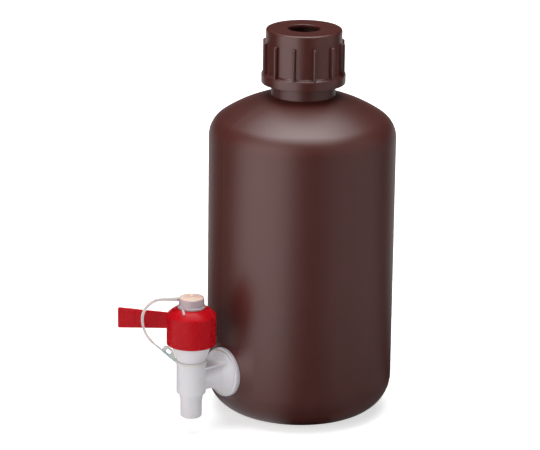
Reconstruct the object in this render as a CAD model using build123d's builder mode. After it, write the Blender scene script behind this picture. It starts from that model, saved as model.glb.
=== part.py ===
"""A five litre carboy: blow-moulded bottle, stopper under a ribbed screw cap, and a lever spigot by its base.

Millimetres, +Z up. The origin is on the bottle's axis, in the plane it stands on. The spigot looks towards -Y.
"""

import os
from math import cos, hypot, pi, radians, sin, sqrt, tan

from build123d import *

# Bottle
bottle_r = 83.0
bottle_wall = 2.0
base_round = 32.0  # between the side and the foot
foot_width = 7.0  # flat ring that the bottle stands on
push_up = 6.0  # how far the middle of the base is pushed in
push_up_run = 10.0
dome_r = 130.0  # the shoulder is part of a sphere
shoulder_round = 22.0
neck_root_z = 290.0  # where the shoulder meets the neck
neck_r = 28.3
neck_wall = 2.5
neck_height = 54.0
neck_root_round = 2.0
lip_round = 0.6

# Flat land that the spigot seats on
land_rise = 2.5  # how far its face stands out past the bottle's side
land_r = 22.3
land_run = 14.0  # its side falls back at 45 degrees into the bottle
land_edge = 0.4
land_wall = 2.5

# Stopper in the neck
plug_clearance = 0.05
plug_depth = 18.0
plug_lead = 0.9  # how much slimmer the plug's tip is
plug_band = 4.0  # height of the parallel band that seals
plug_wall = 2.6
stopper_flange_t = 2.6
stopper_overhang = 1.7  # flange past the neck's outside, held by the cap's bead

# Screw cap
cap_r = 33.6
cap_bore_r = 31.0
cap_lift = 11.3  # from the neck's root to the cap's foot
cap_gap = 0.1  # between the lid and the stopper's flange
lid_t = 3.0
lid_round = 1.2
lid_hole_r = 14.1
lid_hole_edge = 0.8
band_proud = 3.6  # the band round the cap's foot
band_height = 9.2
band_slope = 1.8  # fall of its upper face, from the cap's wall outwards
band_edge = 0.7
rib_count = 12
rib_start_deg = 6.0
rib_width = 3.0
rib_proud = 3.5  # how far a rib stands off the cap's wall
rib_root = 1.5  # how deep it is rooted in that wall
rib_drop = 10.8  # from the cap's top to the ribs' tops
rib_round = 1.1
bead_r = 28.9
bead_height = 1.1
bead_gap = 0.4  # under the stopper's flange

# Spigot body
inlet_z = 49.2  # height of the shank's axis
tap_stand_off = 37.7  # from the land's face to the spigot's axis
outlet_length = 21.8
outlet_r = 9.6
outlet_bore_r = 7.0
outlet_lead = 1.1
sleeve_r = 10.2
sleeve_height = 5.5
barrel_drop = 11.4  # from the shank's axis to the barrel's foot
barrel_r = 13.0
barrel_edge = 0.8
barrel_straight = 31.2
collar_r = 17.5
collar_flare = 13.0
collar_height = 2.4
snap_neck_r = 15.0
snap_neck_height = 2.8
snap_lip = 0.8
snap_height = 3.4
barrel_neck_height = 7.6
inlet_neck_r = 11.2
inlet_bore_r = 7.5
flange_r = 21.7
flange_t = 2.5
flange_edge = 0.5
flare_rim_r = 19.2
flare_run = 15.5
web_lift = 0.4  # over the inlet neck
web_t = 1.8
web_width = 24.0
shank_r = 12.0

# Seals and nut on the shank
hole_clearance = 0.5
gasket_t = 2.0
gasket_proud = 0.3
washer_t = 1.5
washer_r = 18.0
nut_across_flats = 34.0
nut_t = 8.0
nut_edge = 1.0
shank_end = 3.0  # past the nut
nut_clearance = 0.08
seal_clearance = 0.3

# Valve key
key_clearance = 0.05
key_r = 9.5
key_seat_gap = 0.1
key_bore_r = 6.5
key_bore_roof = 6.0  # hollow above the port
port_r = 6.0
port_turn_deg = 180.0  # the port's direction with the valve shut
drive_across_flats = 13.0
drive_height = 13.0
drive_clearance = 0.05
oring_section_r = 1.25
oring_lift = 7.0  # above the barrel's straight part
oring_gap = 0.02

# Lever knob
knob_r = 21.8
knob_wall = 2.1
skirt_lift = 1.8  # above the foot of the collar
skirt_height = 26.6
shoulder_edge = 1.6
crown_r = 12.7
crown_height = 6.7
crown_bend_r = 21.0
crown_wall = 2.2
seat_drop = 0.6  # from the crown's inner edge to the seat round the stud
hub_r = 11.0
hub_gap = 0.5  # between the hub and the barrel's top
snap_ring_wall = 1.8
snap_ring_gap = 0.3
snap_ring_lift = 0.6
snap_bead = 0.7
snap_bead_height = 1.6
stud_height = 8.2
stud_core_r = 6.8
stud_core_depth = 6.0
lever_turn_deg = 230.0  # the lever's direction with the valve shut
lever_length = 64.4
lever_t = 3.0
lever_lift = 13.7  # above the skirt's foot
lever_root_height = 14.4
lever_tip_height = 18.2
lever_corner = 2.0
lever_edge = 0.6
pad_length = 15.0
pad_t = 4.0

# Outlet cap, parked on the knob's stud
cap_fit = 0.05
outlet_cap_wall = 1.6
outlet_cap_rim = 0.95
outlet_cap_rim_height = 2.6
outlet_cap_top = 1.8
outlet_cap_flat_r = 7.9
outlet_cap_fall = 0.7  # from the flat to the wall's top
outlet_cap_height = 10.0
nub_r = 2.6
nub_height = 2.6
nub_edge = 0.9
park_gap = 0.3  # over the seat
pull_turn_deg = 286.0
pull_width = 2.2
pull_length = 4.3
pull_t = 1.2
pull_gap = 0.3

# Tether from the outlet cap to the barrel
tether_turn_deg = 242.0
tether_t = 1.6
tether_width = 2.6
root_width = 3.6
root_drop = 3.2
lug_reach = 13.0
tether_lift = 9.8  # above the outlet cap's rim
upper_bend_r = 17.3
lower_bend_r = 32.0
lower_turn_deg = 48.0  # how far the strap turns in under its outermost point
ring_clearance = 0.3
ring_wall = 1.8
ring_gap = 0.1  # under the barrel's flare
ring_height = 2.6
eyelet_r = 1.7
eyelet_wall = 1.6
eyelet_run = 12.5  # along the strap from the ring

# Places worked out from the sizes above
land_reach = bottle_r + land_rise
tap_reach = land_reach + tap_stand_off
band_r = cap_r + band_proud
neck_top_z = neck_root_z + neck_height
cap_bottom_z = neck_root_z + cap_lift
barrel_bottom_z = inlet_z - barrel_drop
outlet_end_z = barrel_bottom_z - outlet_length
flare_z = barrel_bottom_z + barrel_straight
collar_bottom_z = flare_z + collar_flare
barrel_top_z = collar_bottom_z + collar_height + barrel_neck_height
web_z = inlet_z + inlet_neck_r + web_lift
key_bore_top_z = inlet_z + port_r + key_bore_roof
oring_z = flare_z + oring_lift
skirt_bottom_z = collar_bottom_z + skirt_lift
skirt_top_z = skirt_bottom_z + skirt_height
crown_z = skirt_top_z + crown_height
seat_z = crown_z - seat_drop
lever_bottom_z = skirt_bottom_z + lever_lift
ring_bottom_z = flare_z - ring_gap - ring_height
lid_z = neck_top_z + stopper_flange_t + cap_gap
cap_top_z = lid_z + lid_t
dome_centre_z = neck_root_z - sqrt(dome_r**2 - neck_r**2)
flange_face = land_reach + gasket_t + flange_t
nut_face = land_reach - land_wall - washer_t
key_bottom_z = barrel_bottom_z + barrel_edge + key_seat_gap
key_bore_hole_r = key_r + key_clearance
hub_z = barrel_top_z + hub_gap
outlet_cap_z = seat_z + park_gap
tether_top_z = outlet_cap_z + tether_lift
outlet_cap_bore_r = outlet_r + cap_fit
outlet_cap_r = outlet_cap_bore_r + outlet_cap_wall
tap_axis = Axis((0, -tap_reach, 0), (0, 0, 1))

# Half sections drawn as (radius, height) round the bottle's axis and round the spigot's, and as
# (distance from the bottle's axis, radius) along the spigot's shank
tap_section = Plane(origin=(0, -tap_reach, 0), x_dir=(1, 0, 0), z_dir=(0, -1, 0))
shank_section = Plane(origin=(0, 0, inlet_z), x_dir=(0, -1, 0), z_dir=(-1, 0, 0))
shank_axis = Axis((0, 0, inlet_z), (0, -1, 0))


def upright_plane(turn_deg):
    """The upright plane through the spigot's axis that looks out at turn_deg, drawn as (reach, height)."""
    turn = radians(turn_deg)
    return Plane(origin=(0, -tap_reach, 0), x_dir=(cos(turn), sin(turn), 0), z_dir=(sin(turn), -cos(turn), 0))


def across_shank(reach):
    """The plane across the spigot's shank at this distance from the bottle's axis, looking outwards."""
    return Plane(origin=(0, -reach, inlet_z), x_dir=(1, 0, 0), z_dir=(0, -1, 0))


def finish(name, piece):
    piece.part.label = name
    export_step(piece.part, f"parts/{name}.step")


os.makedirs("parts", exist_ok=True)


# Bottle
def bottle_half(skin, throat_r, top_z):
    """The half section of the bottle's form, drawn this far inside its outer skin and up to top_z."""
    side_r = bottle_r - skin
    dome = dome_r - skin
    middle_r = (side_r + throat_r) / 2
    foot_inner_r = bottle_r - base_round - foot_width
    corner = (side_r, dome_centre_z + sqrt(dome**2 - side_r**2))
    crest = (middle_r, dome_centre_z + sqrt(dome**2 - middle_r**2))
    root = (throat_r, dome_centre_z + sqrt(dome**2 - throat_r**2))
    with BuildSketch(Plane.XZ) as half:
        with BuildLine():
            Polyline(
                (0, push_up + skin),
                (foot_inner_r - push_up_run, push_up + skin),
                (foot_inner_r, skin),
                (side_r, skin),
                corner,
            )
            ThreePointArc(corner, crest, root)
            Polyline(root, (throat_r, top_z), (0, top_z), (0, push_up + skin))
        make_face()
        side = vertices().filter_by_position(Axis.X, side_r - 0.01, side_r + 0.01).sort_by(Axis.Y)
        fillet(side[0], base_round - skin)
        side = vertices().filter_by_position(Axis.X, side_r - 0.01, side_r + 0.01).sort_by(Axis.Y)
        fillet(side[-1], shoulder_round - skin)
        throat = vertices().filter_by_position(Axis.X, throat_r - 0.01, throat_r + 0.01).sort_by(Axis.Y)
        fillet(throat[0], neck_root_round)
    return half.sketch


def land_half(face, face_r):
    """The half section of the land's tapered form, from its face back into the bottle."""
    foot = land_reach - land_run
    with BuildSketch(shank_section) as half:
        with BuildLine():
            Polyline((foot, 0), (foot, face_r + face - foot), (face, face_r), (face, 0), close=True)
        make_face()
    return half.sketch


with BuildPart() as bottle:
    revolve(bottle_half(0, neck_r, neck_top_z), axis=Axis.Z)
    revolve(land_half(land_reach, land_r), axis=shank_axis)
    land_rim = edges().filter_by(GeomType.CIRCLE).sort_by(Axis.Y)[0]
    fillet(land_rim, land_edge)
    revolve(bottle_half(bottle_wall, neck_r - neck_wall, neck_top_z), axis=Axis.Z, mode=Mode.SUBTRACT)
    pocket_r = land_r - (sqrt(2) - 1) * land_wall
    revolve(land_half(land_reach - land_wall, pocket_r), axis=shank_axis, mode=Mode.SUBTRACT)
    with BuildSketch(across_shank(land_reach)):
        Circle(shank_r + hole_clearance)
    extrude(amount=-land_wall, mode=Mode.SUBTRACT)
    lip = edges().filter_by(GeomType.CIRCLE).group_by(Axis.Z)[-1]
    fillet(lip.sort_by(SortBy.RADIUS)[-1], lip_round)
finish("bottle", bottle)


# Stopper: an open cup whose flange rests on the neck's rim
plug_r = neck_r - neck_wall - plug_clearance
well_r = plug_r - plug_wall
with BuildPart() as neck_stopper:
    with BuildSketch(Plane.XZ):
        with BuildLine():
            Polyline(
                (0, neck_top_z - plug_depth),
                (plug_r - plug_lead, neck_top_z - plug_depth),
                (plug_r, neck_top_z - plug_band),
                (plug_r, neck_top_z),
                (neck_r + stopper_overhang, neck_top_z),
                (neck_r + stopper_overhang, neck_top_z + stopper_flange_t),
                (well_r, neck_top_z + stopper_flange_t),
                (well_r - plug_lead, neck_top_z - plug_depth + plug_wall),
                (0, neck_top_z - plug_depth + plug_wall),
                close=True,
            )
        make_face()
    revolve(axis=Axis.Z)
finish("neck_stopper", neck_stopper)


# Screw cap
bead_top_z = neck_top_z - bead_gap
with BuildPart() as screw_cap:
    with BuildSketch(Plane.XZ):
        with BuildLine():
            Polyline(
                (lid_hole_r, lid_z),
                (lid_hole_r, cap_top_z),
                (cap_r, cap_top_z),
                (cap_r, cap_bottom_z + band_height + band_slope / 2),
                (band_r, cap_bottom_z + band_height - band_slope / 2),
                (band_r, cap_bottom_z),
                (cap_bore_r, cap_bottom_z),
                (cap_bore_r, bead_top_z - bead_height),
                (bead_r, bead_top_z - bead_height / 2),
                (cap_bore_r, bead_top_z),
                (cap_bore_r, lid_z),
                close=True,
            )
        make_face()
        band = vertices().filter_by_position(Axis.X, band_r - 0.01, band_r + 0.01)
        fillet(band, band_edge)
    revolve(axis=Axis.Z)
    rib_length = rib_proud + rib_root
    rib_top_z = cap_top_z - rib_drop
    with BuildSketch(Plane.XY.offset(cap_bottom_z + band_height / 2)):
        with PolarLocations(cap_r + rib_proud - rib_length / 2, rib_count, start_angle=rib_start_deg):
            RectangleRounded(rib_length, rib_width, rib_width * 0.45)
    extrude(amount=rib_top_z - cap_bottom_z - band_height / 2)
    rib_tops = faces().filter_by(Plane.XY).filter_by_position(Axis.Z, rib_top_z - 0.01, rib_top_z + 0.01)
    rib_edges = rib_tops.edges().filter_by(lambda edge: hypot((edge @ 0.5).X, (edge @ 0.5).Y) > cap_r + 0.1)
    fillet(rib_edges, rib_round)
    top_rim = faces().filter_by(Plane.XY).sort_by(Axis.Z)[-1].edges().sort_by(SortBy.RADIUS)
    fillet(top_rim[-1], lid_round)
    top_hole = faces().filter_by(Plane.XY).sort_by(Axis.Z)[-1].edges().sort_by(SortBy.RADIUS)
    chamfer(top_hole[0], lid_hole_edge)
finish("screw_cap", screw_cap)


# Spigot body: barrel, outlet and flared inlet in one moulding
with BuildPart() as spigot_body:
    with BuildSketch(tap_section):
        with BuildLine():
            Polyline(
                (0, outlet_end_z),
                (outlet_r - outlet_lead, outlet_end_z),
                (outlet_r, outlet_end_z + outlet_lead),
                (outlet_r, barrel_bottom_z - sleeve_height),
                (sleeve_r, barrel_bottom_z - sleeve_height + sleeve_r - outlet_r),
                (sleeve_r, barrel_bottom_z),
                (barrel_r - barrel_edge, barrel_bottom_z),
                (barrel_r, barrel_bottom_z + barrel_edge),
                (barrel_r, flare_z),
                (collar_r, collar_bottom_z),
                (collar_r, collar_bottom_z + collar_height),
                (snap_neck_r, collar_bottom_z + collar_height),
                (snap_neck_r, collar_bottom_z + collar_height + snap_neck_height),
                (snap_neck_r + snap_lip, collar_bottom_z + collar_height + snap_neck_height + snap_lip),
                (snap_neck_r, collar_bottom_z + collar_height + snap_neck_height + snap_height),
                (snap_neck_r, barrel_top_z),
                (0, barrel_top_z),
                close=True,
            )
        make_face()
    revolve(axis=tap_axis)
    with BuildSketch(shank_section):
        with BuildLine():
            flare_end = (flange_face, flare_rim_r)
            flare_start = (flange_face + flare_run, inlet_neck_r)
            flare_middle = (flange_face + 0.42 * flare_run, inlet_neck_r + 0.24 * (flare_rim_r - inlet_neck_r))
            Polyline((tap_reach, 0), (tap_reach, inlet_neck_r), flare_start)
            ThreePointArc(flare_start, flare_middle, flare_end)
            Polyline(
                flare_end,
                (flange_face, flange_r - flange_edge),
                (flange_face - flange_edge, flange_r),
                (flange_face - flange_t, flange_r),
                (flange_face - flange_t, shank_r),
                (nut_face - nut_t - shank_end, shank_r),
                (nut_face - nut_t - shank_end, 0),
                (tap_reach, 0),
            )
        make_face()
    revolve(axis=shank_axis)
    with BuildSketch(Plane.XY.offset(web_z)):
        with Locations((0, -(tap_reach + flange_face) / 2)):
            Rectangle(web_width, tap_reach - flange_face)
    extrude(amount=web_t)
    with BuildSketch(Plane.XY.offset(barrel_bottom_z + barrel_edge)):
        with Locations((0, -tap_reach)):
            Circle(key_bore_hole_r)
    extrude(amount=barrel_top_z - barrel_bottom_z - barrel_edge, mode=Mode.SUBTRACT)
    with BuildSketch(Plane.XY.offset(outlet_end_z)):
        with Locations((0, -tap_reach)):
            Circle(outlet_bore_r)
    extrude(amount=inlet_z - outlet_end_z, mode=Mode.SUBTRACT)
    with BuildSketch(across_shank(tap_reach)):
        Circle(inlet_bore_r)
    extrude(amount=-(tap_reach - nut_face + nut_t + shank_end), mode=Mode.SUBTRACT)
finish("spigot_body", spigot_body)


# Flange gasket outside, washer and nut inside
with BuildPart() as flange_gasket:
    with BuildSketch(across_shank(land_reach + gasket_t)):
        Circle(flange_r + gasket_proud)
        Circle(shank_r + seal_clearance, mode=Mode.SUBTRACT)
    extrude(amount=-gasket_t)
finish("flange_gasket", flange_gasket)

with BuildPart() as inner_washer:
    with BuildSketch(across_shank(land_reach - land_wall)):
        Circle(washer_r)
        Circle(shank_r + seal_clearance, mode=Mode.SUBTRACT)
    extrude(amount=-washer_t)
finish("inner_washer", inner_washer)

with BuildPart() as lock_nut:
    with BuildSketch(across_shank(nut_face)):
        RegularPolygon(nut_across_flats / 2, 6, major_radius=False)
        Circle(shank_r + nut_clearance, mode=Mode.SUBTRACT)
    extrude(amount=-nut_t)
    with BuildSketch(shank_section):
        with BuildLine():
            corner_r = nut_across_flats / 2 / cos(pi / 6)
            Polyline(
                (nut_face - nut_t, corner_r - 2 * nut_edge),
                (nut_face - nut_t, corner_r + nut_edge),
                (nut_face - nut_t + nut_edge, corner_r + nut_edge),
                (nut_face - nut_t + nut_edge, corner_r),
                close=True,
            )
        make_face()
    revolve(axis=shank_axis, mode=Mode.SUBTRACT)
finish("lock_nut", lock_nut)


# Valve key: a hollow plug, open downwards, with one port in its side
groove_r = key_bore_hole_r - oring_gap - 2 * oring_section_r
with BuildPart() as valve_key:
    with BuildSketch(tap_section):
        with BuildLine():
            Polyline(
                (key_bore_r, key_bottom_z),
                (key_r, key_bottom_z),
                (key_r, oring_z - 1.2 * oring_section_r),
                (groove_r, oring_z - 1.2 * oring_section_r),
                (groove_r, oring_z + 1.2 * oring_section_r),
                (key_r, oring_z + 1.2 * oring_section_r),
                (key_r, hub_z),
                (0, hub_z),
                (0, key_bore_top_z),
                (key_bore_r, key_bore_top_z),
                close=True,
            )
        make_face()
    revolve(axis=tap_axis)
    with BuildSketch(Plane.XY.offset(hub_z)):
        with Locations((0, -tap_reach)):
            RegularPolygon(drive_across_flats / 2, 6, major_radius=False, rotation=lever_turn_deg)
    extrude(amount=drive_height)
    port_turn = radians(port_turn_deg)
    port_plane = Plane(origin=(0, -tap_reach, inlet_z), z_dir=(cos(port_turn), sin(port_turn), 0))
    with BuildSketch(port_plane):
        Circle(port_r)
    extrude(amount=key_r + 1, mode=Mode.SUBTRACT)
finish("valve_key", valve_key)

with BuildPart() as stem_oring:
    with BuildSketch(tap_section):
        with Locations((groove_r + oring_section_r, oring_z)):
            RegularPolygon(oring_section_r, 8, major_radius=False, rotation=22.5)
    revolve(axis=tap_axis)
finish("stem_oring", stem_oring)


# Lever knob
skirt_bore_r = knob_r - knob_wall
ring_in_r = snap_neck_r + snap_lip + snap_ring_gap
ring_out_r = ring_in_r + snap_ring_wall
ring_z = collar_bottom_z + collar_height + snap_ring_lift
crown_chord = hypot(knob_r - crown_r, crown_height)
crown_sag = sqrt(crown_bend_r**2 - crown_chord**2 / 4)
crown_centre_r = (knob_r + crown_r) / 2 - crown_sag * crown_height / crown_chord
crown_centre_z = skirt_top_z + crown_height / 2 - crown_sag * (knob_r - crown_r) / crown_chord


def crown_at(r, skin=0.0):
    """Height of the domed crown at this radius, this far under its outside."""
    return crown_centre_z + sqrt((crown_bend_r - skin) ** 2 - (r - crown_centre_r) ** 2)


with BuildPart() as lever_knob:
    with BuildSketch(tap_section):
        with BuildLine():
            crown_middle_r = (knob_r + crown_r) / 2
            ThreePointArc((knob_r, skirt_top_z), (crown_middle_r, crown_at(crown_middle_r)), (crown_r, crown_z))
            Polyline(
                (crown_r, crown_z),
                (crown_r, seat_z),
                (outlet_r, seat_z),
                (outlet_r, seat_z + stud_height),
                (0, seat_z + stud_height),
                (0, skirt_bottom_z),
                (knob_r, skirt_bottom_z),
                (knob_r, skirt_top_z),
            )
        make_face()
        skirt = vertices().filter_by_position(Axis.X, knob_r - 0.01, knob_r + 0.01).sort_by(Axis.Y)
        fillet(skirt[-1], shoulder_edge)
    revolve(axis=tap_axis)
    with BuildSketch(upright_plane(lever_turn_deg)):
        with BuildLine():
            Polyline(
                (hub_r, lever_bottom_z),
                (lever_length, lever_bottom_z),
                (lever_length, lever_bottom_z + lever_tip_height),
                (knob_r, lever_bottom_z + lever_root_height),
                (hub_r, lever_bottom_z + lever_root_height),
                close=True,
            )
        make_face()
        tip = vertices().filter_by_position(Axis.X, lever_length - 0.01, lever_length + 0.01)
        fillet(tip, lever_corner)
    extrude(amount=lever_t / 2, both=True)
    with BuildSketch(upright_plane(lever_turn_deg)):
        with BuildLine():
            pad_foot = lever_length - pad_length
            tip_rise = (lever_tip_height - lever_root_height) / (lever_length - knob_r)
            Polyline(
                (pad_foot, lever_bottom_z),
                (lever_length, lever_bottom_z),
                (lever_length, lever_bottom_z + lever_tip_height),
                (pad_foot, lever_bottom_z + lever_tip_height - tip_rise * pad_length),
                close=True,
            )
        make_face()
        tip = vertices().filter_by_position(Axis.X, lever_length - 0.01, lever_length + 0.01)
        fillet(tip, lever_corner)
    extrude(amount=pad_t / 2, both=True)
    with BuildSketch(tap_section):
        with BuildLine():
            Polyline(
                (0, skirt_bottom_z),
                (skirt_bore_r, skirt_bottom_z),
                (skirt_bore_r, crown_at(skirt_bore_r, crown_wall)),
                (ring_out_r, crown_at(ring_out_r, crown_wall)),
                (ring_out_r, ring_z),
                (ring_in_r - snap_bead, ring_z),
                (ring_in_r - snap_bead, ring_z + snap_bead_height - snap_bead),
                (ring_in_r, ring_z + snap_bead_height),
                (ring_in_r, crown_at(ring_in_r, crown_wall)),
                (hub_r, seat_z - crown_wall),
                (hub_r, hub_z),
                (0, hub_z),
                close=True,
            )
        make_face()
    revolve(axis=tap_axis, mode=Mode.SUBTRACT)
    with BuildSketch(Plane.XY.offset(hub_z)):
        with Locations((0, -tap_reach)):
            RegularPolygon(drive_across_flats / 2 + drive_clearance, 6, major_radius=False, rotation=lever_turn_deg)
    extrude(amount=drive_height + key_seat_gap, mode=Mode.SUBTRACT)
    with BuildSketch(Plane.XY.offset(seat_z + stud_height)):
        with Locations((0, -tap_reach)):
            Circle(stud_core_r)
    extrude(amount=-stud_core_depth, mode=Mode.SUBTRACT)
finish("lever_knob", lever_knob)


# Outlet cap
with BuildPart() as outlet_cap:
    rim_r = outlet_cap_r + outlet_cap_rim
    top_z = outlet_cap_z + outlet_cap_height
    with BuildSketch(tap_section):
        with BuildLine():
            Polyline(
                (0, top_z + nub_height),
                (nub_r - nub_edge, top_z + nub_height),
                (nub_r, top_z + nub_height - nub_edge),
                (nub_r, top_z),
                (outlet_cap_flat_r, top_z),
                (outlet_cap_r, top_z - outlet_cap_fall),
                (outlet_cap_r, outlet_cap_z + outlet_cap_rim_height),
                (rim_r, outlet_cap_z + outlet_cap_rim_height - outlet_cap_rim),
                (rim_r, outlet_cap_z),
                (0, outlet_cap_z),
                close=True,
            )
        make_face()
    revolve(axis=tap_axis)
    with BuildSketch(upright_plane(tether_turn_deg)):
        with BuildLine():
            Polyline(
                (outlet_cap_bore_r + outlet_cap_wall / 2, tether_top_z),
                (lug_reach, tether_top_z),
                (lug_reach, tether_top_z - root_drop),
                (outlet_cap_bore_r + outlet_cap_wall / 2, tether_top_z - root_drop),
                close=True,
            )
        make_face()
    extrude(amount=root_width / 2, both=True)
    with BuildSketch(upright_plane(pull_turn_deg)):
        with BuildLine():
            pull_reach = rim_r + pull_length
            pull_foot_z = crown_z + pull_gap
            pull_tip_z = crown_at(pull_reach) + pull_gap
            Polyline(
                (outlet_cap_r - outlet_cap_wall / 2, top_z - outlet_cap_fall),
                (outlet_cap_r + pull_t / 2, top_z - 2 * outlet_cap_fall),
                (rim_r + pull_t / 2, pull_foot_z + 1.5 * pull_t),
                (pull_reach, pull_tip_z + pull_t),
                (pull_reach, pull_tip_z),
                (rim_r, pull_foot_z),
                (outlet_cap_r - outlet_cap_wall / 2, pull_foot_z),
                close=True,
            )
        make_face()
    extrude(amount=pull_width / 2, both=True)
    with BuildSketch(Plane.XY.offset(outlet_cap_z)):
        with Locations((0, -tap_reach)):
            Circle(outlet_cap_bore_r)
    extrude(amount=outlet_cap_height - outlet_cap_top, mode=Mode.SUBTRACT)
finish("outlet_cap", outlet_cap)


# Tether: a thin moulded strap that ends in an eyelet tab and a ring round the barrel
ring_bore_r = barrel_r + ring_clearance
with BuildPart() as tether:
    strap_z = tether_top_z - tether_t / 2
    bend_z = strap_z - upper_bend_r
    foot = (ring_bore_r + ring_wall / 2, ring_bottom_z + ring_height / 2)
    slope = radians(lower_turn_deg)
    fall_start_z = bend_z - lower_bend_r * sin(slope)
    fall_start = foot[0] + (fall_start_z - foot[1]) * tan(slope)
    tether_far = fall_start + lower_bend_r * (1 - cos(slope))
    bend_start = tether_far - upper_bend_r
    with BuildSketch(upright_plane(tether_turn_deg)):
        with BuildLine():
            Line((lug_reach, strap_z), (bend_start, strap_z))
            CenterArc((bend_start, bend_z), upper_bend_r, 90, -90)
            CenterArc((tether_far - lower_bend_r, bend_z), lower_bend_r, 0, -lower_turn_deg)
            Line((fall_start, fall_start_z), foot)
        trace(line_width=tether_t)
    extrude(amount=tether_width / 2, both=True)
    with BuildSketch(upright_plane(tether_turn_deg)):
        with BuildLine():
            Polyline(
                (lug_reach, tether_top_z),
                (lug_reach, tether_top_z - root_drop),
                (bend_start, tether_top_z - tether_t),
                (bend_start, tether_top_z),
                close=True,
            )
        make_face()
    extrude(amount=root_width / 2, both=True)
    with BuildSketch(upright_plane(tether_turn_deg)):
        eyelet_shift = eyelet_r + tether_t
        eyelet = (
            foot[0] + eyelet_run * sin(slope) - eyelet_shift * cos(slope),
            foot[1] + eyelet_run * cos(slope) + eyelet_shift * sin(slope),
        )
        with Locations(eyelet):
            Circle(eyelet_r + eyelet_wall)
        with Locations(foot):
            Circle(tether_t / 2)
        make_hull()
        with Locations(eyelet):
            Circle(eyelet_r, mode=Mode.SUBTRACT)
    extrude(amount=tether_width / 2, both=True)
    with BuildSketch(Plane.XY.offset(ring_bottom_z)):
        with Locations((0, -tap_reach)):
            Circle(ring_bore_r + ring_wall)
    extrude(amount=ring_height)
    with BuildSketch(Plane.XY.offset(ring_bottom_z)):
        with Locations((0, -tap_reach)):
            Circle(ring_bore_r)
    extrude(amount=ring_height, mode=Mode.SUBTRACT)
finish("tether", tether)
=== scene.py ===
# %% [markdown]
# # A carboy with a lever spigot
# This lesson dresses a measured model of a laboratory carboy: a brown bottle with a ribbed screw cap, and a
# white spigot with a red lever close to its foot. The measured model carries the sizes and the moving parts,
# so it is loaded first and everything is built round it, in the same place and in metres.

# %% Load the measured model
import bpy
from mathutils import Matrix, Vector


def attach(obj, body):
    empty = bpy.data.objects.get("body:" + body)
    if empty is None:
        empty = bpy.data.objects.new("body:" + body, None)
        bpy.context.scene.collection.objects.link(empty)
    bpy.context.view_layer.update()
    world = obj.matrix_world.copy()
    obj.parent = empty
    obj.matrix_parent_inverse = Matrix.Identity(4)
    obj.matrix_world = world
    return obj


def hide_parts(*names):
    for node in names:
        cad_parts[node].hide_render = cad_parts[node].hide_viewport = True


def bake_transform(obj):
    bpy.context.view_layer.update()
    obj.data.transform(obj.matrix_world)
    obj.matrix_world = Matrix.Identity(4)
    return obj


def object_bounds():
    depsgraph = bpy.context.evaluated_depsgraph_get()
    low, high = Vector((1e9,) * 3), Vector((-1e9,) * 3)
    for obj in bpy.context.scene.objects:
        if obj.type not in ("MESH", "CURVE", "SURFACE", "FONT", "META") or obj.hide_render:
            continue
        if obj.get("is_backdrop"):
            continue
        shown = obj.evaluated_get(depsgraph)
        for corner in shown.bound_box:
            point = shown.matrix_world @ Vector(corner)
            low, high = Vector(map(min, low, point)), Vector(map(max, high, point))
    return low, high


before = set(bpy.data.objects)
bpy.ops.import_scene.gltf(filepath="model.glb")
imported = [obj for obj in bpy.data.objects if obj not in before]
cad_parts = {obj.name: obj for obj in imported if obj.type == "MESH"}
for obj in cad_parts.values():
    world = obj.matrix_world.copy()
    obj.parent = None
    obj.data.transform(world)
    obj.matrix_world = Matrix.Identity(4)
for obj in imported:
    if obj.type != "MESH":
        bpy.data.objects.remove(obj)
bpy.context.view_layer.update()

# %% [markdown]
# ## Tools that every piece needs
# Sizes are written in millimetres, as on a drawing, and turned into metres where a point is made. An operator
# works on whatever is selected, so each piece starts with nothing selected. The spigot's upright axis stands
# in front of the bottle, and two short names for the bottle's axis and the spigot's keep the rest readable.

# %% Units, axes and selection
from math import atan2, ceil, copysign, cos, degrees, pi, radians, sin, sqrt, tan

import bpy
from mathutils import Vector

MM = 0.001
UP = Vector((0, 0, 1))
OUT = Vector((1, 0, 0))
bottle_axis = Vector((0, 0, 0))
tap_axis = Vector((0, -123.2, 0))
shank_axis = Vector((0, 0, 49.2))


def select_only(*chosen):
    """Select these objects and nothing else; the last one becomes the active one."""
    bpy.ops.object.select_all(action="DESELECT")
    for thing in chosen:
        thing.select_set(True)
        bpy.context.view_layer.objects.active = thing


def edit():
    bpy.ops.object.mode_set(mode="EDIT")


def leave():
    bpy.ops.object.mode_set(mode="OBJECT")


def outward(turn_deg):
    """The level direction that looks out at this angle, measured from +X."""
    return Vector((cos(radians(turn_deg)), sin(radians(turn_deg)), 0))


print("spigot axis at y =", tap_axis.y, "mm, shank axis at z =", shank_axis.z, "mm")

# %% [markdown]
# Moulded plastic has no sharp corner anywhere. A radius of even half a millimetre catches a thin line of
# light, and that line is what makes a surface read as plastic. So each outline is written as corners with an
# optional radius, and this helper puts the arcs in.

# %% Rounding the corners of an outline
def rounded(corners, step_deg=15):
    """The points of an outline given as (x, y) or (x, y, radius) corners, with arcs at the rounded ones."""
    line = []
    for i, corner in enumerate(corners):
        here = Vector(corner[:2])
        radius = corner[2] if len(corner) > 2 else 0
        if not radius:
            line.append(here)
            continue
        back = (Vector(corners[i - 1][:2]) - here).normalized()
        ahead = (Vector(corners[(i + 1) % len(corners)][:2]) - here).normalized()
        half = back.angle(ahead) / 2
        centre = here + (back + ahead).normalized() * radius / sin(half)
        start = here + back * radius / tan(half) - centre
        end = here + ahead * radius / tan(half) - centre
        sweep = copysign(pi - 2 * half, start.x * end.y - start.y * end.x)
        steps = max(2, ceil(abs(degrees(sweep)) / step_deg))
        for k in range(steps + 1):
            turn = sweep * k / steps
            line.append(centre + Vector((start.x * cos(turn) - start.y * sin(turn),
                                         start.x * sin(turn) + start.y * cos(turn))))
    return line


print("a square corner with radius 1 takes", len(rounded([(0, 0), (4, 0, 1), (4, 4)])) - 2, "points")

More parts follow.
